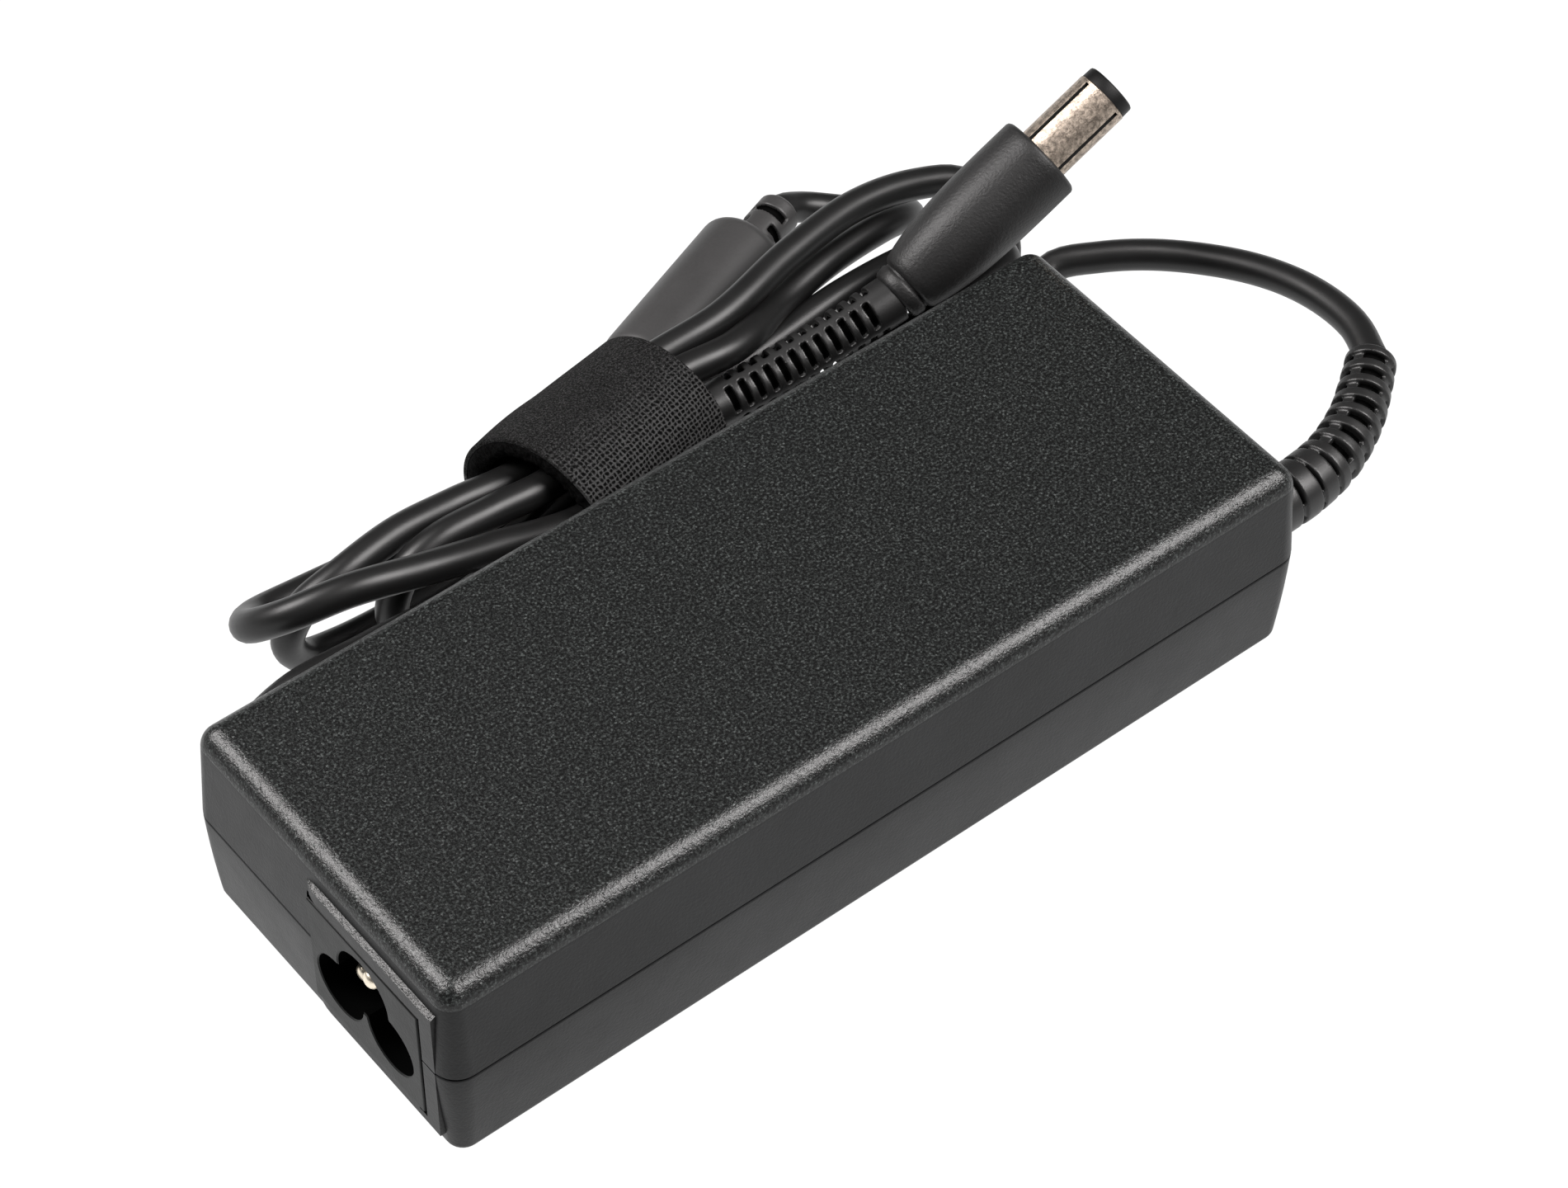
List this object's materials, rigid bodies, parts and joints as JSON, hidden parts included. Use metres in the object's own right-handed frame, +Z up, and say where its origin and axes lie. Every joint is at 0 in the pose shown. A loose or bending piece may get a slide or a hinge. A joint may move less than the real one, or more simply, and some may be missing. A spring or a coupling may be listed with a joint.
{
  "type": "laptop power adapter",
  "caption": "Flat rectangular power brick with a three-lobe mains inlet; its strapped cable hank carries a choke and a barrel plug.",
  "frame": {"origin": "centre of the brick's underside, on the surface it stands on", "axes": "+X along the brick from the mains inlet to the output cable, +Y towards the cable hank, +Z up"},
  "size_m": [0.1608, 0.0946, 0.04],
  "materials": {
    "shell_plastic": "fine spark texture on the lid, smoother walls",
    "inlet_plastic": "satin",
    "pin_nickel": "bright nickel",
    "circuit_board": "solder mask",
    "capacitor_sleeve": "shrink sleeve",
    "black_epoxy": "moulded epoxy",
    "film_yellow": "box film capacitor",
    "disc_blue": "dipped ceramic",
    "aluminium": "mill",
    "ferrite": "sintered",
    "copper_winding": "enamelled wire",
    "winding_tape": "polyester tape",
    "fuse_body": "ceramic tube",
    "insulation_film": "film",
    "label_film": "blank",
    "relief_rubber": "matt",
    "cable_jacket": "satin",
    "strap_weave": "woven",
    "strap_lining": "loop pile",
    "choke_mould": "satin",
    "plug_mould": "satin",
    "barrel_nickel": "nickel plate",
    "tip_black": "satin",
    "inner_contact": "plated"
  },
  "bodies": {
    "root": {"top_shell": "shell_plastic", "bottom_shell": "shell_plastic", "rating_label": "label_film", "inlet_housing": "inlet_plastic", "inlet_pin_line": "pin_nickel", "inlet_pin_neutral": "pin_nickel", "inlet_pin_earth": "pin_nickel", "pcb": "circuit_board", "insulation_sheet": "insulation_film", "heat_spreader": "aluminium", "fuse": "fuse_body", "x_capacitor": "film_yellow", "y_capacitor": "disc_blue", "mains_filter_core": "ferrite", "mains_filter_base": "black_epoxy", "bridge_rectifier": "black_epoxy", "bulk_capacitor": "capacitor_sleeve", "primary_heatsink": "aluminium", "switching_transistor": "black_epoxy", "control_circuit": "black_epoxy", "optocoupler": "black_epoxy", "transformer_core": "ferrite", "transformer_winding": "winding_tape", "secondary_heatsink": "aluminium", "output_rectifier": "black_epoxy", "output_choke": "copper_winding", "output_capacitor_1": "capacitor_sleeve", "output_capacitor_2": "capacitor_sleeve", "output_strain_relief": "relief_rubber", "output_cable": "cable_jacket", "cable_hank": "cable_jacket", "strap_band": "strap_weave", "strap_lining": "strap_lining", "choke_overmould": "choke_mould", "ferrite_core": "ferrite", "choke_relief": "choke_mould", "plug_strain_relief": "relief_rubber", "plug_overmould": "plug_mould", "dc_barrel": "barrel_nickel", "dc_tip_insulator": "tip_black", "dc_inner_sleeve": "inner_contact", "dc_centre_pin": "inner_contact"}
  },
  "joints": []
}
